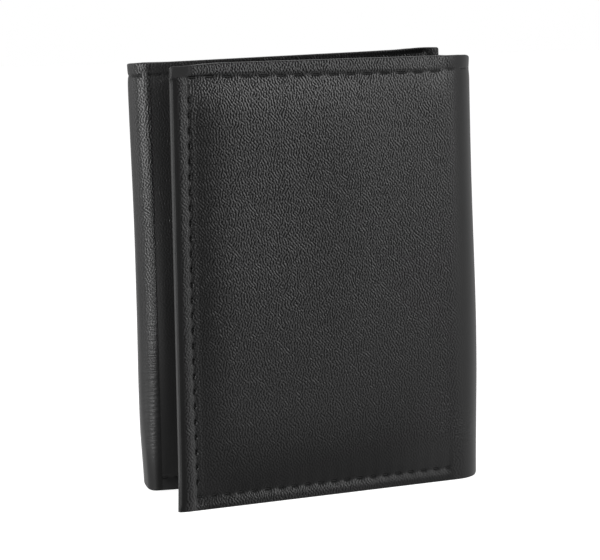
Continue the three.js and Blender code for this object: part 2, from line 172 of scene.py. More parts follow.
@dataclass
class Fold:
    """A bend of the leather round an upright axis, from the back panel to a flap."""

    start: float
    side: int
    radius: float
    bend: float
    foot: float
    corner: float  # turn at which its corners are trimmed
    corner_widths: tuple  # of the trim, towards the back panel and the flap
    lift: float  # of its lower edge there
    dip: float  # of its upper edge there
    end_share: float  # sideways reach over the radius where the flap begins

    def share(self, z):
        """Sideways reach over the radius."""
        z = np.asarray(z, float)
        if self.side > 0:
            belly, pressed_foot = 0.075 * bell(z - 37, 32), 0.022 * (1 - ramp(z, 4, 30))
            return 1.0 + 0.003 * z / HEIGHT + belly - pressed_foot
        full_top, swell = 0.15 * ramp(z, 60, 112), 0.03 * bell(z - 27, 12)
        pressed_foot = 0.14 * (1 - ramp(z, 0, 18))
        return 0.95 + full_top + swell - pressed_foot

    def crush(self, turn, z):
        """Power of the bend's sine: under 1 where the fold is pressed to a sharper corner."""
        if self.side > 0:
            pressed = 0.16 * (1 - ramp(z, 3, 32))
        else:
            pressed = 0.42 * (1 - ramp(z, 4, 28)) - 0.3 * bell(z - 52, 22)
        return 1 - pressed * ramp(self.bend - turn, 0, 0.25) * ramp(turn, 1.75, 2.1)

    def plan(self, turn, depth, z):
        reach = self.radius - np.asarray(depth)
        share = self.share(z)
        share = share + (self.end_share - share) * ramp(turn, self.bend - 0.3, self.bend)
        swing = np.sign(turn) * np.abs(np.sin(turn)) ** self.crush(turn, z)
        x = self.start + self.side * share * reach * swing
        return x, -self.radius + reach * np.cos(turn)

    def spot(self, turn, depth, z):
        return world(*self.plan(turn, depth, z), z)

    def lowest(self, turn):
        """Height of the fold's lower edge."""
        return (self.foot + self.lift * self.trim(turn)) * ramp(turn, 0, 0.6)

    def highest(self, turn):
        return HEIGHT - self.dip * self.trim(turn)

    def trim(self, turn):
        """1 where the fold's corners are trimmed most."""
        off = np.asarray(turn) - self.corner
        return bell(off, np.where(off < 0, *self.corner_widths))

    def skin(self, turn):
        return self.start + self.side * self.radius * turn


RIGHT = Fold(start=BACK_WIDTH / 2, side=1, radius=12.0, bend=math.pi - FRONT_AJAR, foot=0.0,
             corner=1.75, corner_widths=(0.85, 0.32), lift=1.0, dip=0.8, end_share=1.045)
LEFT = Fold(start=-BACK_WIDTH / 2, side=-1, radius=4.5, bend=math.pi - INNER_AJAR, foot=INNER_FOOT,
            corner=1.05, corner_widths=(0.71, 0.71), lift=1.75, dip=0.2, end_share=1.07)
# Where the flaps begin, in plan
FRONT_ROOT, INNER_ROOT = (fold.plan(fold.bend, 0.0, 0.0) for fold in (RIGHT, LEFT))
# Distance along the outer skin, so that grain and stitches run on over the folds
SKIN_FRONT, SKIN_INNER = RIGHT.skin(RIGHT.bend), LEFT.skin(LEFT.bend)

shell_low, shell_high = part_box("back_shell")
MIDDLE_X = (shell_low[0] + shell_high[0]) / 2 / MM
BACK_Y = shell_high[1] / MM


# Places: depth runs in from the outer skin, z up, and a along a flap from its fold
def world(x, y, z):
    x, y, z = np.broadcast_arrays(x, y, z)
    return np.stack([x + MIDDLE_X, y + BACK_Y, z], axis=-1) * MM


def on_back(x, depth, z):
    return world(x, -np.asarray(depth), z)


def on_front(a, depth, z):
    c, s = math.cos(FRONT_AJAR), math.sin(FRONT_AJAR)
    return world(FRONT_ROOT[0] - c * a - s * depth, FRONT_ROOT[1] - s * a + c * depth, z)


def on_inner(a, depth, z):
    c, s = math.cos(INNER_AJAR), math.sin(INNER_AJAR)
    return world(INNER_ROOT[0] + c * a + s * depth, INNER_ROOT[1] - s * a + c * depth, z)


# Seams and hems: e is the distance from a free edge, t from the top, s runs along the skin
def pinch(along):
    """1 at the middle of each stitch, 0 between stitches."""
    return 0.5 - 0.5 * np.cos(2 * math.pi * np.asarray(along) / STITCH)


def pits(across, along, pitch, share, depth, width):
    """Dents in which the stitches of a seam lie; share is their part of the pitch."""
    off = np.abs(np.mod(along / pitch, 1) - 0.5)
    return depth * (1 - ramp(off, share / 2 - 0.08, share / 2 + 0.08)) * bell(across, width)


def top_seam(s):
    """How far the hem's seam runs below the top edge, along the skin."""
    spots = [(SKIN_INNER - INNER_LENGTH, 3.4), (SKIN_INNER, 3.1), (LEFT.start, 3.3)]
    spots += [(SKIN_FRONT + a, drop) for a, drop in FRONT_HEM_SEAM]
    return np.interp(s, *zip(*spots))


def edge_profile(e, seam, along):
    """Depths beside a sewn free edge: the ridge's shoulder, and the drop from its crest inwards."""
    nip = pinch(along)
    crest = EDGE_CREST * seam + 0.16 * np.sin(0.31 * along) + 0.1 * np.sin(0.83 * along + 1)
    shoulder = SHOULDER * np.square(np.clip(crest - e, 0, None) / crest)
    lip = seam - 0.45 + 0.2 * (1 - nip)
    roll = ROLL * np.square(np.clip((e - crest) / (lip - crest), 0, 1))
    past = np.maximum(e - seam - 0.25, 0)
    drop = (DRAWN - ROLL + 0.1 * nip * np.exp(-past / 0.6)) * ramp(e, lip, lip + 0.5)
    return shoulder, (roll + drop) * np.exp(-past / DRAWN_RUN)


def foot_profile(b, along):
    """Depth beside the seam along the bottom edge, which is drawn in above and puckered below."""
    c = b - BOTTOM_SEAM
    above = np.maximum(c, 0)
    slack = 0.6 * np.exp(-above / 1.5) + 0.4 * np.exp(-above / 7.0)
    drawn = np.where(c > 0, slack, bell(np.minimum(c, 0), 1.2))
    pucker = np.sin(2 * math.pi * (along + 0.8 * b) / 1.2 + 1.4 * np.sin(0.9 * along))
    return (0.4 + 0.1 * pinch(along)) * drawn, 0.009 * pucker * bell(c + 1.3, 1.0)


def hem_profile(t, s, inside):
    """Depth beside the top hem's seam, which draws the panel in below it; inside is 0 at a fold."""
    c = t - top_seam(s)
    drawn = np.where(c > 0, np.exp(-np.maximum(c, 0) / HEM_RUN), bell(c, 0.45))
    groove = FOLD_GROOVE * bell(c, FOLD_GROOVE_WIDTH)
    return groove * (1 - inside) + HEM_DRAWN * drawn * inside


def hem_depth(distance):
    """Depth of the shell's inner face: double in the turned hem."""
    return SHELL - (SHELL - LEATHER) * ramp(distance, HEM - HEM_STEP, HEM)


# Painted shade: darker by a stitch pit's depth, plus the painted shade given for the place
def darkened(dents, shade=0.0):
    return np.clip(dents * PIT_SHADE + shade, 0, DARKEST)


# Meshes
def lines(*runs):
    """Grid lines over runs of (from, to, step)."""
    parts = [np.linspace(a, b, max(2, int(round((b - a) / step)) + 1)) for a, b, step in runs]
    return np.unique(np.round(np.concatenate(parts), 5))


def heights(edge_step, seam_step, panel_step, foot_band=FOOT_BAND, foot_step=None):
    """Grid lines up a panel: closest at its edges, close along its seams."""
    low, high = TOP_BAND
    return lines((0, EDGE_BAND, edge_step), (EDGE_BAND, foot_band, foot_step or seam_step),
                 (foot_band, low, panel_step), (low, high, seam_step), (high, HEIGHT, edge_step))


def nearest_lines(values, wanted):
    """Places of the grid lines nearest to the wanted values, with both ends."""
    found = [int(np.argmin(np.abs(values - w))) for w in wanted]
    return np.unique([0, *found, len(values) - 1])


def hem_lines(values, both):
    """The few grid lines that the shell's inner face needs, about its hems."""
    last = values[-1]
    inner = [last - HEM, last - HEM + HEM_STEP, *np.arange(HEM + 5, last - HEM, 10)]
    return nearest_lines(values, inner + ([HEM - HEM_STEP, HEM] if both else [0.5, HEM / 2]))


def link(name, data):
    obj = bpy.data.objects.new(name, data)
    bpy.context.scene.collection.objects.link(obj)
    return obj


def slab(name, face, back, skin=None, looks=None, joined=(False, False), hollow=0.0, loop=False,
         sparse=(None, None)):
    """Closed sheet between two grids of points, with a rim hollowed by some mm. The shading breaks
    at joined end rows; a loop's last row meets its first. The back keeps only its sparse rows and
    columns, if they are given. Looks are the face's painted layers."""
    looks = looks or {}
    rows, cols = face.shape[:2]
    count = rows * cols
    ids = np.arange(count).reshape(rows, cols)
    kept = np.ix_(*(np.arange(n) if few is None else few for n, few in zip((rows, cols), sparse)))
    backs = back[kept].reshape(-1, 3)
    behind = np.full((rows, cols), -1)
    behind[kept] = count + np.arange(len(backs)).reshape(back[kept].shape[:2])
    grids = [ids, behind[kept]]
    if loop:
        grids = [np.vstack([grid, grid[:1]]) for grid in grids]
        rings = [(ids[:, 0], ids[:, 1]), (ids[::-1, -1], ids[::-1, -2])]
    else:
        rings = [[np.concatenate([ids[k, :-1], ids[:-1, -1 - k], ids[-1 - k, :0:-1], ids[:0:-1, k]])
                  for k in (0, 1)]]
    faces = quads_of(grids[0]) + [quad[::-1] for quad in quads_of(grids[1])]
    flat_face, flat_back, flat_behind = face.reshape(-1, 3), back.reshape(-1, 3), behind.ravel()
    points = [flat_face, backs]
    total = count + len(backs)
    for ring, inside in rings:
        toward = flat_face[inside] - flat_face[ring]
        toward /= np.maximum(np.linalg.norm(toward, axis=1, keepdims=True), 1e-9)
        points.append((flat_face[ring] + flat_back[ring]) / 2 + toward * hollow * MM)
        faces += rim_faces(ring.tolist(), total, flat_behind[ring].tolist())
        total += len(ring)
    rim = np.concatenate([ring for ring, _ in rings])
    mesh = bpy.data.meshes.new(name)
    mesh.from_pydata(np.concatenate(points).tolist(), [], faces)
    for layer, (within, edge) in LAYERS.items():
        shown = np.broadcast_to(looks.get(layer, 0.0), (rows, cols)).ravel()
        hidden = [np.full(len(backs), within), np.full(len(rim), edge)]
        values = np.concatenate([shown, *hidden]).astype(np.float32)
        mesh.attributes.new(layer, "FLOAT", "POINT").data.foreach_set("value", values)
    if skin is not None:
        spot = np.stack(np.broadcast_arrays(*skin), axis=-1).reshape(-1, 2) / SKIN_SPAN
        spot = np.concatenate([spot, spot[ids[kept].ravel()], spot[rim]])
        corners = np.empty(len(mesh.loops), np.int32)
        mesh.loops.foreach_get("vertex_index", corners)
        uv = mesh.uv_layers.new(name="skin")
        uv.data.foreach_set("uv", spot[corners].astype(np.float32).ravel())
    face_out(mesh, [row.tolist() for row, is_joined in zip((ids[0], ids[-1]), joined) if is_joined])
    return link(name, mesh)


def quads_of(grid):
    corners = grid[:-1, :-1], grid[1:, :-1], grid[1:, 1:], grid[:-1, 1:]
    return np.stack([corner.ravel() for corner in corners], 1).tolist()


def rim_faces(ring, first, behind):
    """Faces from a ring to its middle line, and on to the points of the back behind it."""
    n = len(ring)
    faces = [(ring[k], ring[(k + 1) % n], first + (k + 1) % n, first + k) for k in range(n)]
    held = [k for k in range(n) if behind[k] >= 0]
    for k, k_next in zip(held, held[1:] + [held[0] + n]):
        middle = [first + i % n for i in range(k, k_next + 1)]
        faces.append(tuple(middle + [behind[k_next % n], behind[k]]))
    return faces


def face_out(mesh, breaks):
    """Turns all faces out, and breaks the shading along the given rows of points."""
    work = bmesh.new()
    work.from_mesh(mesh)
    work.verts.ensure_lookup_table()
    for row in breaks:
        for i, j in zip(row[:-1], row[1:]):
            work.edges.get((work.verts[i], work.verts[j])).smooth = False
    bmesh.ops.recalc_face_normals(work, faces=work.faces)
    work.to_mesh(mesh)
    work.free()
    mesh.shade_smooth()


def tubes(name, paths, radius, sides=6, taper=0.7):
    """Round threads, each through a path of points, tapered at its ends."""
    off_axis = (0.31, 0.9, 0.3)  # no thread runs along it
    points, faces = [], []
    for path in paths:
        ahead = np.gradient(path, axis=0)
        ahead /= np.linalg.norm(ahead, axis=1, keepdims=True)
        up = np.cross(ahead, off_axis)
        up /= np.linalg.norm(up, axis=1, keepdims=True)
        side = np.cross(ahead, up)
        first, last = len(points), len(path) - 1
        for i in range(last + 1):
            swell = radius * (taper if i in (0, last) else 1.0)
            for k in range(sides):
                turn = 2 * math.pi * k / sides
                out = math.cos(turn) * up[i] + math.sin(turn) * side[i]
                points.append(tuple(path[i] + swell * out))
        for i in range(last):
            for k in range(sides):
                p, q = first + i * sides + k, first + i * sides + (k + 1) % sides
                faces.append((p, q, q + sides, p + sides))
        faces.append(tuple(first + k for k in reversed(range(sides))))
        faces.append(tuple(first + last * sides + k for k in range(sides)))
    mesh = bpy.data.meshes.new(name)
    mesh.from_pydata(points, [], faces)
    mesh.shade_smooth()
    return link(name, mesh)


def stitch_row(name, place, start, end, pitch, shown):
    """Stitches with middles from start to end; place(along, depth) is a spot in the leather."""
    t = np.linspace(-1, 1, 9)
    sunk = 0.26 + 0.5 * np.abs(t) ** 5  # the ends dive into the leather
    stitches = range(math.ceil(start / pitch - 0.5), math.ceil(end / pitch - 0.5))
    paths = [place((i + 0.5 + 0.55 * shown * t) * pitch, sunk) for i in stitches]
    return dress(tubes(name, paths, THREAD_RADIUS * MM), THREAD_MAT)


# Materials
MIX_INPUTS, MIX_COLOUR = (0, 6, 7), 2  # places of a colour mix's factor, A and B, and its result


class Shader:
    """A Principled material and short ways to make its nodes."""

    def __init__(self, name):
        self.material = bpy.data.materials.new(name)
        self.material.use_nodes = True
        tree = self.material.node_tree
        self.nodes, self.links = tree.nodes, tree.links
        self.nodes.clear()
        self.bsdf = self.nodes.new("ShaderNodeBsdfPrincipled")
        out = self.nodes.new("ShaderNodeOutputMaterial")
        self.links.new(self.bsdf.outputs[0], out.inputs[0])

    def put(self, socket, value):
        if isinstance(value, bpy.types.NodeSocket):
            self.links.new(value, socket)
        else:
            socket.default_value = value

    def set(self, name, value):
        self.put(self.bsdf.inputs[name], value)

    def node(self, kind, **values):
        """A node with the inputs of these names set."""
        node = self.nodes.new(kind)
        for name, value in values.items():
            self.put(node.inputs[name], value)
        return node

    def object_spot(self):
        return self.node("ShaderNodeTexCoord").outputs["Object"]

    def layer(self, name):
        node = self.node("ShaderNodeAttribute")
        node.attribute_name = name
        return node.outputs["Fac"]

    def math(self, kind, *values):
        node = self.node("ShaderNodeMath")
        node.operation = kind
        for socket, value in zip(node.inputs, values):
            self.put(socket, value)
        return node.outputs[0]

    def mix(self, factor, a, b):
        node = self.node("ShaderNodeMix")
        node.data_type = "RGBA"
        for place, value in zip(MIX_INPUTS, (factor, a, b)):
            self.put(node.inputs[place], value)
        return node.outputs[MIX_COLOUR]

    def remap(self, value, low_in, high_in, low_out=0.0, high_out=1.0):
        node = self.node("ShaderNodeMapRange")
        node.interpolation_type = "SMOOTHSTEP"
        for socket, v in zip(node.inputs, (value, low_in, high_in, low_out, high_out)):
            self.put(socket, v)
        return node.outputs[0]

    def noise(self, vector, scale, detail=3.0):
        return self.node("ShaderNodeTexNoise", Vector=vector, Scale=scale, Detail=detail,
                         Roughness=0.5).outputs[0]

    def wave(self, vector, direction, scale, distortion=0.0):
        node = self.node("ShaderNodeTexWave", Vector=vector, Scale=scale, Distortion=distortion)
        node.bands_direction = direction
        return node.outputs["Fac"]

    def bump(self, height, distance, strength=1.0):
        node = self.node("ShaderNodeBump", Height=height, Distance=distance * MM, Strength=strength)
        self.set("Normal", node.outputs[0])


def grey(value, blue=1.0):
    return (value, value, value * blue, 1)


def shell_leather():
    """Black leather: a fine slanting grain with painted shade in its pits, painted shade in the
    stitch pits and shaded places, rubbed edges with painted highlights, and a painted sheen, as
    they are painted.
    """
    s = Shader("shell_leather")
    uv = s.node("ShaderNodeUVMap")
    uv.uv_map = "skin"
    skin = uv.outputs[0]
    grain, painted_shade, wear_and_highlight, polish_and_sheen, crease = (s.layer(name) for name in LAYERS)
    pores = s.noise(skin, 230, 1.0)
    gabor = s.node("ShaderNodeTexGabor", Vector=skin, Scale=70, Frequency=2.05, Anisotropy=0.48,
                   Orientation=math.radians(-8))
    grooves = gabor.outputs["Value"]
    height = s.math("MULTIPLY_ADD", pores, 0.15, grooves)
    fine = s.math("MULTIPLY", s.noise(skin, 600, 2.0), 0.05)
    drawn_out = s.node("ShaderNodeMapping", Vector=skin, Scale=(0.2, 1, 1))
    wrinkles = s.noise(drawn_out.outputs[0], 170, 2.0)
    fine = s.math("MULTIPLY_ADD", wrinkles, crease, fine)
    s.bump(s.math("MULTIPLY_ADD", height, grain, fine), 0.15)
    crest = s.remap(s.math("MULTIPLY_ADD", pores, 0.5, grooves), 0.6, 0.9)
    cloud = s.noise(skin, 7)
    plain = s.mix(cloud, grey(0.0045, 1.02), grey(0.0075, 1.02))
    # painted shade in the grain's pits: darker colour between the crests
    pebbled = s.mix(crest, grey(0.002, 1.02), grey(0.008, 1.02))
    # rubbed wear and painted highlights lighten the colour
    highlight_and_rub = s.mix(wear_and_highlight, s.mix(grain, plain, pebbled), grey(0.06))
    # painted shade darkens the colour
    s.set("Base Color", s.mix(painted_shade, highlight_and_rub, grey(0.002)))
    # the polish layer paints a sheen: crests reflect more where it is set
    crest_gleam = s.mix(polish_and_sheen, grey(0.8), grey(1.0))
    # painted shade in the grain's pits: they reflect less than the crests
    gleam = s.mix(grain, grey(0.28), s.mix(crest, grey(0.02), crest_gleam))
    # painted shade dims the reflection too
    s.set("Specular Tint", s.mix(painted_shade, gleam, grey(0.07)))
    polish = s.remap(height, 0.5, 1.0, -0.16, -0.28)
    plain_rough = s.math("MULTIPLY_ADD", polish_and_sheen, -0.1, 0.5)
    s.set("Roughness", s.math("MULTIPLY_ADD", polish, s.remap(grain, 0.0, 0.4), plain_rough))
    s.set("Specular IOR Level", 0.4)
    return s.material


def inner_leather(name, dark, light, rough):
    """Smoother leather of the pockets and the divider, with rubbed edges and painted shade in its
    creases.
    """
    s = Shader(name)
    spot = s.object_spot()
    pores = s.noise(spot, 1300, 2.0)
    cloud = s.noise(spot, 60)
    s.bump(pores, 0.08)
    s.set("Specular Tint", s.mix(s.remap(pores, 0.35, 0.65), grey(0.4), grey(0.75)))
    body = s.mix(s.layer("wear_and_highlight"), s.mix(cloud, grey(dark), grey(light)), grey(0.05))
    s.set("Base Color", s.mix(s.layer("painted_shade"), body, grey(0.003)))
    s.set("Roughness", s.remap(pores, 0.3, 0.7, rough + 0.08, rough - 0.06))
    s.set("Specular IOR Level", 0.35)
    return s.material


def lining_cloth():
    """Black woven lining."""
    s = Shader("lining_cloth")
    spot = s.object_spot()
    thread = s.math("MAXIMUM", s.wave(spot, "X", 700, 0.4), s.wave(spot, "Z", 700, 0.4))
    s.bump(thread, 0.08, 0.6)
    s.set("Base Color", s.mix(thread, grey(0.005), grey(0.014, 1.05)))
    s.set("Roughness", s.remap(thread, 0.0, 1.0, 0.8, 0.66))
    s.set("Sheen Weight", 0.2)
    return s.material


def sewing_thread():
    s = Shader("sewing_thread")
    twist = s.wave(s.object_spot(), "DIAGONAL", 1600)
    s.bump(twist, 0.06, 0.6)
    s.set("Base Color", s.mix(twist, grey(0.002), grey(0.006)))
    s.set("Roughness", s.remap(twist, 0.0, 1.0, 0.7, 0.55))
    s.set("Specular IOR Level", 0.2)
    return s.material


def clear_vinyl():
    s = Shader("clear_vinyl")
    smear = s.noise(s.object_spot(), 90, 4.0)
    s.bump(smear, 0.1, 0.3)
    s.set("Base Color", s.mix(smear, grey(0.72, 1.02), grey(0.85, 1.02)))
    s.set("Roughness", s.remap(smear, 0.3, 0.7, 0.08, 0.2))
    s.set("Transmission Weight", 0.9)
    s.set("IOR", 1.3)
    s.set("Alpha", 0.55)
    return s.material


SHELL_MAT = shell_leather()
POCKET_MAT = inner_leather("pocket_leather", dark=0.010, light=0.016, rough=0.44)
DIVIDER_MAT = inner_leather("divider_leather", dark=0.008, light=0.013, rough=0.56)
LINING_MAT = lining_cloth()
THREAD_MAT = sewing_thread()
VINYL_MAT = clear_vinyl()


def dress(obj, material):
    obj.data.materials.append(material)
    return obj


def carry(obj, body, *nodes):
    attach(obj, body)
    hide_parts(*nodes)


def sew(name, body, place, start, end, pitch, shown):
    """A row of stitches on a body, in place of the thread of the same name."""
    row = stitch_row(name + "_stitches", place, start, end, pitch, shown)
    carry(row, body, name + "_thread")


def low_grain(z):
    """Strength of the grain, which is pressed flatter towards the foot."""
    return 0.6 + 0.4 * ramp(z, 4, 70)


def inner_grain(z):
    """The same on the left fold and the inner flap, which are rubbed smooth at the foot."""
    return 0.05 + 0.95 * ramp(z, 20, 70)


# Front flap
def front_edge(z):
    """Length of the flap, with the lapped end of its hem and the flare of its foot."""
    hem_end = 0.35 * bell(HEIGHT - CORNER_DROP - z - 2.3, 0.8)
    lap = hem_end + 0.25 * bell(z - 0.9, 0.8) + 0.2 * (1 - ramp(z, 0, 8))
    return FRONT_LENGTH - EDGE_LEAN * z / HEIGHT + lap


def front_top(a):
    corner = rounding(FRONT_LENGTH - EDGE_LEAN - np.asarray(a), 0.35)
    return HEIGHT - CORNER_DROP * ramp(a, FRONT_LENGTH - CORNER_RUN, FRONT_LENGTH) - corner


def front_seam(z):
    return EDGE_SEAM + EDGE_BOW * (np.square(2 * z / HEIGHT - 1) - 0.5)


def front_sewn(a, z):
    """1 where the bottom seam runs, between the fold and the seam of the free edge."""
    e = front_edge(z) - a
    return ramp(e, front_seam(z) - 0.5, front_seam(z) + 0.8) * ramp(a, 0.0, 1.0)


def front_shape(a, z):
    """Depth of the front flap's skin, apart from its stitch pits."""
    e, t, s = front_edge(z) - a, front_top(a) - z, SKIN_FRONT + a
    below_tab = ramp(t, TAB_DROP, TAB_DROP + 0.5)
    on_tab = (1 - ramp(t, TAB_DROP, TAB_DROP + 0.4)) * (1 - ramp(e, HEM_TAB - 0.5, HEM_TAB))
    shoulder, drawn = edge_profile(e, front_seam(z), z + EDGE_SHIFT)
    foot, pucker = foot_profile(z, s)
    sewn = front_sewn(a, z)
    seams = np.maximum(drawn * below_tab * ramp(z, 0.8, 3.0), foot * sewn)
    tab = (0.32 - 0.11 * e) * on_tab
    top_roll = 0.16 * np.square(np.clip(3 - t, 0, None) / 3)
    hem = hem_profile(t, s, ramp(a, 0, 10)) * ramp(e, HEM_TAB - 0.6, HEM_TAB + 0.6)
    seam_end = 0.12 * bell(a - 1.0, 0.5) * bell(z - BOTTOM_SEAM + 1, 1.2) * ramp(a, 0, 0.4)
    inside = ramp(e, 5, 20) * ramp(t, 4, 12) * ramp(z, 4, 14) * ramp(a, 0, 12)
    uneven = 0.14 * ripple(a, z, 0.7) * inside
    depth = shoulder * below_tab + seams + pucker * sewn + tab + top_roll + hem - seam_end + uneven
    return depth + rounding(e, EDGE_ROUND) + rounding(t, TOP_ROUND) + rounding(z, FOOT_ROUND)


def front_pits(a, z):
    e, t, s = front_edge(z) - a, front_top(a) - z, SKIN_FRONT + a
    down = pits(e - front_seam(z), z + EDGE_SHIFT, STITCH, *FRONT_EDGE_PITS)
    down = down * ramp(t, 4.4, 5.6) * ramp(z, 4.6, 5.6)
    hem = pits(t - top_seam(s), s, TOP_STITCH, *TOP_PITS) * ramp(e, HEM_TAB, HEM_TAB + 0.8)
    return down + hem + pits(z - BOTTOM_SEAM, s, STITCH, *FRONT_FOOT_PITS) * front_sewn(a, z)


def front_grain(a, z, e, t):
    """Grain that fades to the fold, the foot and the seams; a ridge of its own by the free edge."""
    past = e - front_seam(z)
    least = 0.3 + 0.3 * ramp(a, 35, 62)
    panel = low_grain(z) * (least + (1 - least) * ramp(z, 4, 16))
    foot_strip = (1 - ramp(z, 2.5, 4)) * (0.35 + 0.45 * ramp(a, 10, 50))
    grain = ramp(a, *GRAIN_FADE) * (0.8 + 0.2 * ramp(a, 5, 40)) * np.maximum(panel, foot_strip)
    grain = grain * (0.72 + 0.28 * ramp(past, 0.2, 8))
    on_ridge = 1 - ramp(past, -0.3, 0.3)
    grain = grain * (1 - on_ridge) + 0.62 * on_ridge * ramp(e, 1.0, 1.8)
    by_tab = 1 - ramp(e, HEM_TAB - 0.3, HEM_TAB + 1.5)
    return grain * (1 - (1 - ramp(t, TAB_DROP, TAB_DROP + 0.4)) * by_tab)


# Rubbed wear along the edges, with painted highlights on the seam's ridge and in a spot below the
# top by the fold, and a lighter hem strip by the fold
def front_wear_and_highlight(a, z, e, t):
    low = 1 - ramp(z, 10, 65)
    free_edge = (0.06 - 0.03 * low) * bell(e, RUB_WIDTH)
    top_edge = TOP_WEAR * bell(t, RUB_WIDTH)
    # painted highlight on the ridge beside the seam, partly rubbed wear
    ridge_rub_and_highlight = (0.09 + 0.18 * low) * bell(e - front_seam(z) + 0.95, 0.8)
    ridge_rub_and_highlight = ridge_rub_and_highlight * ramp(t, TAB_DROP, TAB_DROP + 1)
    # painted highlight: a light spot below the top edge by the fold
    fold_top_highlight = 0.2 * bell(a - 3.5, 4.0) * bell(t - 6.5, 3.5)
    # lighter strip along the top hem near the fold
    hem = 0.1 * (1 - ramp(a, 4, 22)) * (1 - ramp(t, 2.5, 4))
    return free_edge + top_edge + ridge_rub_and_highlight + fold_top_highlight + hem


def front_shade(a, z, e, t):
    """Painted shade: where the leather dips, is pressed, or turns from the light."""
    past = e - front_seam(z)
    by_rim = 0.7 * ramp(e, 0.15, 0.38) * (1 - ramp(e, 0.9, 2.1))
    by_rim = by_rim * ramp(t, TAB_DROP, TAB_DROP + 0.7)
    foot_strip = (0.4 - 0.15 * ramp(a, 10, 30)) * (1 - ramp(z, 2.0, 3.4)) * ramp(past, 1, 4)
    middle = 0.14 * bell(a - 34, 8) * ramp(t, 8, 25) * ramp(z, 20, 50)
    by_seam = 0.62 * (0.6 + 0.4 * ramp(z, 15, 60)) * ramp(t, 4, 14)
    by_seam = by_seam * ramp(past, -0.4, 0.2) * (1 - ramp(past, 2, 13.5))
    by_seam = by_seam * (1 - 0.6 * bell(past - 1.1, 0.7))
    foot = 0.5 * ramp(past, 3, 12) * (1 - ramp(z, 5, 26)) * ramp(z, 2.5, 4) * ramp(a, 2, 25)
    return by_rim + foot_strip + middle + by_seam + foot


def make_front():
    along = lines((0, 66.5, 0.45), (66.5, 70.5, 0.3), (70.5, 75.5, 0.15),
                  (75.5, FRONT_LENGTH, 0.08))
    up = heights(0.08, 0.18, 0.36)
    a, z = np.meshgrid(along, up, indexing="ij")
    a = a * front_edge(z) / FRONT_LENGTH
    z = z * front_top(a) / HEIGHT
    e, t = front_edge(z) - a, front_top(a) - z
    past = e - front_seam(z)
    dents = front_pits(a, z)
    face = on_front(a, front_shape(a, z) + dents, z)
    back = on_front(a, hem_depth(np.minimum(np.minimum(e, t), z)), z)
    # painted sheen: a band below the top hem reflects more, so the top of the flap reads brighter
    top_sheen = (0.4 + 0.6 * ramp(a, 15, 60)) * bell(t - 6.5, 5.5)
    fold_crease = 0.6 * bell(a - 3, 7) * bell(z - 17, 7)
    seam_crease = 0.8 * bell(past - 1.1, 0.8) * ramp(t, 5, 8) * ramp(z, 4, 7)
    looks = {
        "grain": front_grain(a, z, e, t),
        # painted shade in the stitch pits and the shaded places
        "painted_shade": darkened(dents, front_shade(a, z, e, t)),
        "wear_and_highlight": front_wear_and_highlight(a, z, e, t),
        "polish_and_sheen": top_sheen * ramp(past, 0, 3) * ramp(t, 2.5, 4),
        "crease": fold_crease + seam_crease,
    }
    skin = slab("front_skin", face, back, (SKIN_FRONT + a, z), looks, (True, True), RIM_HOLLOW,
                sparse=(hem_lines(along, False), hem_lines(up, True)))
    carry(dress(skin, SHELL_MAT), "front_flap", "front_shell")

    def below(a, depth, z):
        return on_front(a, front_shape(a, z) + depth, z)

    def edge_spot(along, depth):
        z = along - EDGE_SHIFT
        return below(front_edge(z) - front_seam(z), depth, z)

    def top_spot(s, depth):
        a = s - SKIN_FRONT
        return below(a, depth, front_top(a) - top_seam(s))

    def foot_spot(s, depth):
        return below(s - SKIN_FRONT, depth, np.full_like(s, BOTTOM_SEAM))

    end = SKIN_FRONT + FRONT_LENGTH - HEM_TAB
    low, high = 5.0 + EDGE_SHIFT, HEIGHT - 5.0 + EDGE_SHIFT
    sew("front_edge", "front_flap", edge_spot, low, high, STITCH, EDGE_SHOWN)
    sew("front_top", "front_flap", top_spot, SKIN_FRONT, end - 0.8, TOP_STITCH, TOP_SHOWN)
    sew("front_bottom", "front_flap", foot_spot, SKIN_FRONT + 1.0, end + 0.8, STITCH, FOOT_SHOWN)


# Inner flap
def inner_top(a):
    a = np.asarray(a)
    tip = 0.3 * bell(a - INNER_LENGTH + 5, 5)
    return HEIGHT + TIP_RISE * a / INNER_LENGTH + tip - rounding(INNER_LENGTH - a, 0.6)


def inner_shape(a, z):
    e, t, b, s = INNER_LENGTH - a, inner_top(a) - z, z - INNER_FOOT, SKIN_INNER - a
    shoulder, drawn = edge_profile(e, EDGE_SEAM, z)
    foot, pucker = foot_profile(b, s)
    sewn = ramp(e, EDGE_SEAM - 0.5, EDGE_SEAM + 0.8) * ramp(a, 0.5, 2.5)
    seams = np.maximum(drawn * ramp(t, 0.2, 1.4) * ramp(b, 0.8, 3.0), foot * sewn)
    hem = hem_profile(t, s, ramp(a, 0, 10)) * ramp(e, EDGE_SEAM - 0.6, EDGE_SEAM + 0.6)
    inside = ramp(e, 5, 14) * ramp(t, 4, 12) * ramp(b, 4, 14) * ramp(a, 0, 12)
    depth = shoulder + seams + pucker * sewn + hem + 0.12 * ripple(a, z, 2.9) * inside
    return depth + rounding(e, EDGE_ROUND) + rounding(t, TOP_ROUND) + rounding(b, FOOT_ROUND)


def inner_pits(a, z):
    e, t, b, s = INNER_LENGTH - a, inner_top(a) - z, z - INNER_FOOT, SKIN_INNER - a
    down = pits(e - EDGE_SEAM, z, STITCH, *INNER_EDGE_PITS) * ramp(t, 4.0, 5.0) * ramp(b, 4.6, 5.6)
    hem = pits(t - top_seam(s), s, TOP_STITCH, *TOP_PITS)
    hem = hem * ramp(e, EDGE_SEAM - 0.2, EDGE_SEAM + 0.6)
    foot = pits(b - BOTTOM_SEAM, s, STITCH, *FOOT_PITS)
    return down + hem + foot * ramp(e, EDGE_SEAM - 0.5, EDGE_SEAM + 0.8)


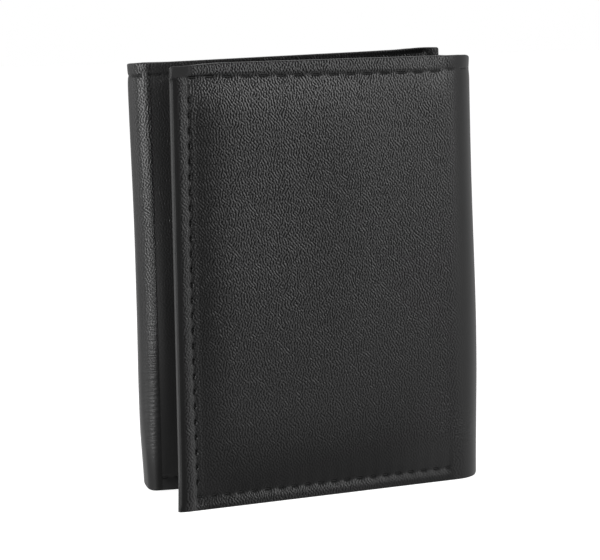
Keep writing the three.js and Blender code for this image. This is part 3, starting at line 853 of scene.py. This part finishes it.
def make_inner():
    along = lines((0, 68.5, 0.6), (68.5, 74.2, 0.22), (74.2, INNER_LENGTH, 0.09))
    up = heights(0.09, 0.22, 0.5)
    a, z = np.meshgrid(along, up, indexing="ij")
    z = INNER_FOOT + z * (inner_top(a) - INNER_FOOT) / HEIGHT
    e, t, b = INNER_LENGTH - a, inner_top(a) - z, z - INNER_FOOT
    dents = inner_pits(a, z)
    face = on_inner(a, inner_shape(a, z) + dents, z)
    back = on_inner(a, hem_depth(np.minimum(np.minimum(e, t), b)), z)
    edges = 0.2 * bell(e, RUB_WIDTH) + TOP_WEAR * bell(t, RUB_WIDTH)
    # painted light by the fold, over the flap's upper part
    painted_light_by_fold = 0.12 * (1 - ramp(a, 8, 20)) * ramp(z, 15, 70)
    # painted highlight along the fold line
    fold_highlight = 0.22 * (1 - ramp(a, 0.3, 2.5)) * bell(z - 48, 24)
    looks = {
        "grain": (0.55 + 0.2 * ramp(a, 1, 8)) * inner_grain(z) * (0.6 + 0.4 * ramp(e, 3, 9)),
        # painted shade over the inner flap but its first mm by the fold, and in the stitch pits
        "painted_shade": darkened(dents, 0.32 * ramp(a, 0, 4)),
        "wear_and_highlight": edges + painted_light_by_fold + fold_highlight,
    }
    skin = slab("inner_skin", face, back, (SKIN_INNER - a, z), looks, (True, False), RIM_HOLLOW,
                sparse=(hem_lines(along, False), hem_lines(up, True)))
    carry(dress(skin, SHELL_MAT), "inner_flap", "inner_shell")

    def below(a, depth, z):
        return on_inner(a, inner_shape(a, z) + depth, z)

    def edge_spot(z, depth):
        return below(np.full_like(z, INNER_LENGTH - EDGE_SEAM), depth, z)

    def top_spot(s, depth):
        a = SKIN_INNER - s
        return below(a, depth, inner_top(a) - top_seam(s))

    def foot_spot(s, depth):
        return below(SKIN_INNER - s, depth, np.full_like(s, INNER_FOOT + BOTTOM_SEAM))

    end = SKIN_INNER - INNER_LENGTH + EDGE_SEAM + 0.6
    sew("inner_edge", "inner_flap", edge_spot, 5.5, HEIGHT - 4.0, STITCH, EDGE_SHOWN)
    sew("inner_top", "inner_flap", top_spot, end, SKIN_INNER, TOP_STITCH, TOP_SHOWN)
    sew("inner_bottom", "inner_flap", foot_spot, end, SKIN_INNER - 0.5, STITCH, FOOT_SHOWN)


# Back panel
def back_shape(x, z):
    t, side = HEIGHT - z, BACK_WIDTH / 2 - np.abs(x)
    foot, pucker = foot_profile(z, x)
    seams = (foot + pucker) * ramp(side, 1.0, 3.0) + hem_profile(t, x, ramp(side, 0, 10))
    inside = ramp(side, 0, 12) * ramp(t, 4, 12) * ramp(z, 4, 14)
    depth = np.maximum(seams + 0.1 * (1 + ripple(x, z, 4.4)) * inside, 0)
    return depth + rounding(t, TOP_ROUND) + rounding(z, FOOT_ROUND)


def back_pits(x, z):
    sewn = ramp(BACK_WIDTH / 2 - np.abs(x), 1.0, 3.0)
    hem = pits(HEIGHT - z - top_seam(x), x, TOP_STITCH, *TOP_PITS)
    return hem + pits(z - BOTTOM_SEAM, x, STITCH, *FOOT_PITS) * sewn


def make_back():
    half = BACK_WIDTH / 2
    along, up = lines((-half, half, 0.5)), heights(0.09, 0.22, 1.4)
    x, z = np.meshgrid(along, up, indexing="ij")
    t, side = HEIGHT - z, half - np.abs(x)
    dents = back_pits(x, z)
    face = on_back(x, back_shape(x, z) + dents, z)
    back = on_back(x, hem_depth(np.minimum(t, z)), z)
    looks = {
        "grain": ramp(side, *GRAIN_FADE) * low_grain(z),
        # painted shade in the stitch pits
        "painted_shade": darkened(dents),
        "wear_and_highlight": TOP_WEAR * bell(t, RUB_WIDTH),
    }
    skin = slab("back_skin", face, back, (x, z), looks, (True, True), RIM_HOLLOW,
                sparse=(nearest_lines(along, range(-30, 31, 10)), hem_lines(up, True)))
    carry(dress(skin, SHELL_MAT), "back_panel", "back_shell")

    def top_spot(x, depth):
        z = HEIGHT - top_seam(x)
        return on_back(x, back_shape(x, z) + depth, z)

    def foot_spot(x, depth):
        z = np.full_like(x, BOTTOM_SEAM)
        return on_back(x, back_shape(x, z) + depth, z)

    sew("back_top", "back_panel", top_spot, -half, half, TOP_STITCH, TOP_SHOWN)
    sew("back_bottom", "back_panel", foot_spot, 2.0 - half, half - 2.0, STITCH, FOOT_SHOWN)


# Folds: each is made in two halves, one at each of its creases
def fold_shape(fold, turn, z):
    groove = FOLD_GROOVE * bell(HEIGHT - z - top_seam(fold.skin(turn)), FOLD_GROOVE_WIDTH)
    top, foot = fold.highest(turn) - z, z - fold.lowest(turn)
    return groove + rounding(top, TOP_ROUND) + rounding(foot, FOOT_ROUND)


def fold_looks(fold, turn, z, dents):
    to_flat = fold.bend - turn
    if fold is RIGHT:
        grain = ramp(-np.minimum(turn, to_flat) * fold.radius, *GRAIN_FADE) * low_grain(z)
        shade = (0.14 + 0.1 * bell(z - 45, 30)) * ramp(to_flat, 0, 0.6)
        highlight_and_rub, polish_and_sheen = 0.0, 0.0
        crease = 1.2 * bell(turn - 2.65, 0.3) * bell(z - 13, 5)
    else:
        grain = 0.55 * ramp(np.abs(turn - 1.55), 0.2, 0.9) * inner_grain(z)
        shade = 0.45 * (1 - ramp(z, 4, 13)) + 0.35 * bell(turn - 2.85, 0.18) * bell(z - 54, 24)
        # painted highlights on the left fold's curve: low down, and along its flank higher up
        highlight_and_rub = 0.35 * bell(turn - 2.6, 0.25) * (1 - ramp(z, 10, 60))
        highlight_and_rub = highlight_and_rub + 0.24 * bell(turn - 2.27, 0.2) * ramp(z, 10, 25)
        polish_and_sheen = 1.6 - 1.6 * ramp(z, 10, 75)
        crease = 2.2 * bell(turn - 2.65, 0.4) * (1 - ramp(z, 25, 50)) * ramp(z, 6, 14)
    wear_and_highlight = TOP_WEAR * bell(fold.highest(turn) - z, RUB_WIDTH) + highlight_and_rub
    # painted shade in the seam's pits and where the fold is shaded
    painted_shade = darkened(dents, shade)
    return {"grain": grain, "painted_shade": painted_shade, "wear_and_highlight": wear_and_highlight, "polish_and_sheen": polish_and_sheen, "crease": crease}


def make_fold(name, fold, spine, flap):
    middle = fold.bend / 2
    halves = (("a", "back_panel", spine, 0.0, middle), ("b", spine, flap, middle, fold.bend))
    up = heights(0.09, 0.22, 1.4, foot_band=4, foot_step=0.4)
    step, close = 0.5 / fold.radius, 0.09 / fold.radius
    for half, first, second, begin, end in halves:
        turns = lines((begin, begin + close, close), (begin + close, end - close, step),
                      (end - close, end, close))
        ends = [tuple(fold.spot(turn, 0.0, HEIGHT / 2)) for turn in (begin, end)]
        turn, z = np.meshgrid(turns, up, indexing="ij")
        foot, top = fold.lowest(turn), fold.highest(turn)
        z = foot + z * (top - foot) / HEIGHT
        s = fold.skin(turn)
        dents = pits(HEIGHT - z - top_seam(s), s, TOP_STITCH, *FOLD_PITS)
        face = fold.spot(turn, fold_shape(fold, turn, z) + dents, z)
        back = fold.spot(turn, hem_depth(np.minimum(top - z, z - foot)), z)
        label = name + "_fold_%s_" + half
        looks = fold_looks(fold, turn, z, dents)
        skin = slab(label % "skin", face, back, (s, z), looks, (True, True), RIM_HOLLOW,
                    sparse=(None, hem_lines(up, True)))
        dress(skin, SHELL_MAT)

        def top_spot(s, depth):
            turn = (s - fold.start) / (fold.side * fold.radius)
            z = HEIGHT - top_seam(s)
            return fold.spot(turn, fold_shape(fold, turn, z) + depth, z)

        reach = sorted((fold.skin(begin), fold.skin(end)))
        row = stitch_row(label % "stitches", top_spot, *reach, TOP_STITCH, TOP_SHOWN)
        cloth = fold_leaf(label % "cloth", fold, turns, LINING_AT, LINING, HEM + JOIN,
                          HEIGHT - HEM - JOIN, LINING_MAT)
        wall_foot = fold.foot + fold.lift + FOOT_INSET
        wall = fold_leaf(label % "wall", fold, turns, DIVIDER_AT, DIVIDER, wall_foot,
                         HEIGHT - DIVIDER_DROP, DIVIDER_MAT)
        pieces = ((skin, "leather"), (row, "thread"), (cloth, "lining"), (wall, "divider"))
        for piece, node in pieces:
            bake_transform(piece)
            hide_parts("%s_fold_%s" % (name, node))


def fold_leaf(name, fold, turns, near, thick, foot, top, material):
    """A ply inside half a fold, which laps a little over the next one."""
    lapped = np.concatenate([[turns[0] - LEAF_LAP], turns[1:-1], [turns[-1] + LEAF_LAP]])
    up = lines((foot, foot + 1, 0.25), (foot + 1, top - 1, 8), (top - 1, top, 0.25))
    turn, z = np.meshgrid(lapped, up, indexing="ij")
    edge = 0.5 * rounding(np.minimum(z - foot, top - z), 0.15)
    face = fold.spot(turn, near + thick - edge, z)
    ply = slab(name, face, fold.spot(turn, near + edge, z), joined=(True, True))
    return dress(ply, material)


# Plies inside the panels
def leaf(name, node, body, spot, sides, foot, top, near, thick, material, crease=0.0):
    """Flat ply between two sides, creased below its top, which is a height or a function."""
    crown = top if callable(top) else lambda a: np.full_like(a, top)
    a0, a1 = sides
    along = lines((a0, a0 + 1, 0.25), (a0 + 1, a1 - 1, 0.8), (a1 - 1, a1, 0.25))
    up = lines((0, 0.02, 0.005), (0.02, 0.9, 0.06), (0.9, 0.985, 0.0045), (0.985, 1, 0.0025))
    a, v = np.meshgrid(along, up, indexing="ij")
    corner = rounding(np.minimum(a - a0, a1 - a), POCKET_ROUND)
    low, high = foot + corner, crown(a) - corner
    z = low + v * (high - low)
    d = np.minimum(np.minimum(a - a0, a1 - a), np.minimum(z - foot, high - z))
    groove = crease * bell(high - z - CREASE_INSET, 0.22)
    soft = 0.04 * ripple(3 * a, 3 * z, near) * ramp(d, 1, 6)
    round_off = rounding(d, PLY_ROUND)
    face = spot(a, near + thick - round_off - groove + soft, z)
    back = spot(a, near + round_off * 0.5 + soft, z)
    piece = slab(name, face, back, looks=ply_looks(groove, high - z))
    carry(dress(piece, material), body, node)
    return piece


# Painted shade in a ply's crease, and its rubbed top edge
def ply_looks(groove, to_edge):
    return {"painted_shade": np.clip(groove * CREASE_SHADE, 0, CREASE_DARKEST),
            "wear_and_highlight": PLY_WEAR * bell(to_edge, PLY_RUB_WIDTH)}


def pocket_top(middle, height):
    """Top edge of a card pocket, with its thumb notch."""
    def top(a):
        off = np.clip(np.abs(a - middle) / NOTCH_HALF, 0, 1)
        return height - NOTCH_DEPTH * (0.5 + 0.5 * np.cos(math.pi * off))

    return top


def make_pockets(prefix, body, spot, sides):
    for i in range(POCKET_COUNT):
        top = pocket_top(sum(sides) / 2, HEIGHT - POCKET_DROP - i * POCKET_STEP)
        name = "%s_card_pocket_%d" % (prefix, i + 1)
        leaf(name + "_leather", name, body, spot, sides, FOOT_INSET, top,
             POCKETS_AT + i * (POCKET + PLY_GAP), POCKET, POCKET_MAT,
             POCKET_CREASE)


def make_lining(prefix, body, spot, sides, foot, top):
    cloth = leaf(prefix + "_cloth", prefix + "_lining", body, spot, sides, foot, top, LINING_AT,
                 LINING, LINING_MAT)


def make_divider(prefix, body, spot, sides, foot):
    leaf(prefix + "_wall", prefix + "_divider", body, spot, sides, foot, HEIGHT - DIVIDER_DROP,
         DIVIDER_AT, DIVIDER, DIVIDER_MAT, DIVIDER_CREASE)


def rounded_loop(a0, a1, z0, z1, radius, per_side=40, per_corner=8):
    """Points round a rounded rectangle, the same number for any size."""
    left, right, low, high = a0 + radius, a1 - radius, z0 + radius, z1 - radius
    arcs = []
    for k, (a, z) in enumerate(((right, low), (right, high), (left, high), (left, low))):
        turn = (k - 1 + np.linspace(0, 1, per_corner)) * math.pi / 2
        arcs.append(np.stack([a + radius * np.cos(turn), z + radius * np.sin(turn)], axis=1))
    path = []
    for arc, following in zip(arcs, arcs[1:] + arcs[:1]):
        path += [arc, np.linspace(arc[-1], following[0], per_side + 2)[1:-1]]
    return np.concatenate(path)


def make_window():
    """Clear window of the inner flap and the leather frame that holds it."""
    foot, end, top = INNER_FOOT + FOOT_INSET, INNER_LENGTH - EDGE_INSET, HEIGHT - FRAME_DROP
    lap = WINDOW_BORDER - WINDOW_LAP
    leaf("window_film", "id_window", "inner_flap", on_inner, (FRAME_START + lap, end - lap),
         foot + lap, top - lap, POCKETS_AT, VINYL, VINYL_MAT)
    near = POCKETS_AT + VINYL + PLY_GAP
    border = WINDOW_BORDER
    outside = rounded_loop(FRAME_START, end, foot, top, POCKET_ROUND)
    inside = rounded_loop(FRAME_START + border, end - border, foot + border, top - border,
                          WINDOW_ROUND)
    across = lines((0, 0.06, 0.01), (0.06, 0.7, 0.16), (0.7, 0.94, 0.02), (0.94, 1, 0.01))
    path = outside[:, None, :] + across[None, :, None] * (inside - outside)[:, None, :]
    a, z = path[..., 0], path[..., 1]
    to_edge = border * np.minimum(across, 1 - across)[None, :]
    groove = POCKET_CREASE * bell(border * (1 - across) - CREASE_INSET, 0.25)[None, :]
    round_off = rounding(to_edge, FRAME_ROUND)
    face = on_inner(a, near + FRAME - round_off - groove, z)
    back = on_inner(a, near + 0.5 * round_off, z)
    piece = slab("window_frame", face, back, looks=ply_looks(groove, to_edge), loop=True)
    carry(dress(piece, POCKET_MAT), "inner_flap", "id_frame")


def make_inside():
    root, half = JOIN / 2, BACK_WIDTH / 2 - JOIN / 2
    foot, top = HEM + JOIN, HEIGHT - HEM - JOIN
    front_end, inner_end = FRONT_LENGTH - HEM - JOIN, INNER_LENGTH - HEM - JOIN
    make_lining("back", "back_panel", on_back, (-half, half), foot, top)
    make_lining("front", "front_flap", on_front, (root, front_end), foot, top)
    make_lining("inner", "inner_flap", on_inner, (root, inner_end), INNER_FOOT + foot, top)
    front_end, inner_end = FRONT_LENGTH - EDGE_INSET, INNER_LENGTH - EDGE_INSET
    inner_foot = INNER_FOOT + FOOT_INSET
    make_divider("back", "back_panel", on_back, (-half, half), FOOT_INSET)
    make_divider("front", "front_flap", on_front, (root, front_end), FOOT_INSET)
    make_divider("inner", "inner_flap", on_inner, (root, inner_end), inner_foot)
    pocket_half = BACK_WIDTH / 2 - BACK_POCKET_MARGIN
    make_pockets("back", "back_panel", on_back, (-pocket_half, pocket_half))
    make_pockets("front", "front_flap", on_front, (FRONT_POCKET_START, front_end))
    make_window()


# Floor, light and camera
def seen_or_mirrored(nodes, links):
    """1 for what the camera sees, straight or in a reflection."""
    path = nodes.new("ShaderNodeLightPath")
    total = path.outputs["Is Camera Ray"]
    for name in ("Is Glossy Ray", "Is Transmission Ray"):
        either = nodes.new("ShaderNodeMath")
        either.operation = "MAXIMUM"
        links.new(total, either.inputs[0])
        links.new(path.outputs[name], either.inputs[1])
        total = either.outputs[0]
    return total


def make_floor():
    h = FLOOR_HALF
    mesh = bpy.data.meshes.new("floor")
    mesh.from_pydata([(-h, -h, 0), (h, -h, 0), (h, h, 0), (-h, h, 0)], [], [(0, 1, 2, 3)])
    obj = link("floor", mesh)
    s = Shader("floor_white")
    s.set("Base Color", s.mix(s.noise(s.object_spot(), 3), grey(0.6), grey(0.62)))
    s.set("Roughness", 0.9)
    s.set("Specular IOR Level", 0.1)
    s.set("Emission Color", grey(1.0))
    seen = seen_or_mirrored(s.nodes, s.links)
    s.set("Emission Strength", s.math("MULTIPLY", seen, FLOOR_GLOW))
    obj.data.materials.append(s.material)


def make_world():
    """White to the camera and in reflections, a dimmer light otherwise."""
    studio = bpy.data.worlds.new("studio")
    bpy.context.scene.world = studio
    studio.use_nodes = True
    nodes, links = studio.node_tree.nodes, studio.node_tree.links
    nodes.clear()
    mix = nodes.new("ShaderNodeMixShader")
    links.new(seen_or_mirrored(nodes, links), mix.inputs[0])
    for strength, socket in zip((WORLD_LIGHT, WORLD_SEEN), mix.inputs[1:]):
        shade = nodes.new("ShaderNodeBackground")
        shade.inputs["Color"].default_value = grey(1.0)
        shade.inputs["Strength"].default_value = strength
        links.new(shade.outputs[0], socket)
    links.new(mix.outputs[0], nodes.new("ShaderNodeOutputWorld").inputs[0])


def softbox(name, place, target, size, power):
    data = bpy.data.lights.new(name, "AREA")
    data.shape = "RECTANGLE"
    data.size, data.size_y = size
    data.energy = power
    obj = link(name, data)
    obj.location = place
    aim = Vector(target) - Vector(place)
    obj.rotation_euler = aim.to_track_quat("-Z", "Y").to_euler()


def make_camera():
    data = bpy.data.cameras.new("camera")
    data.sensor_width = SENSOR
    data.lens = LENS
    data.clip_start, data.clip_end = 0.01, 50
    obj = link("camera", data)
    rows = list(zip(CAMERA_RIGHT, CAMERA_UP, CAMERA_BACK, world(*CAMERA)))
    obj.matrix_world = Matrix(rows + [(0, 0, 0, 1)])
    bpy.context.scene.camera = obj


for leftover in ("Cube", "Light", "Camera"):
    if leftover in bpy.data.objects:
        bpy.data.objects.remove(bpy.data.objects[leftover])
make_front()
make_inner()
make_back()
make_fold("right", RIGHT, "right_spine", "front_flap")
make_fold("left", LEFT, "left_spine", "inner_flap")
make_inside()
make_floor()
make_world()
for lamp, settings in LAMPS.items():
    softbox(lamp, *settings)
make_camera()
bpy.context.scene.view_settings.view_transform = "Standard"
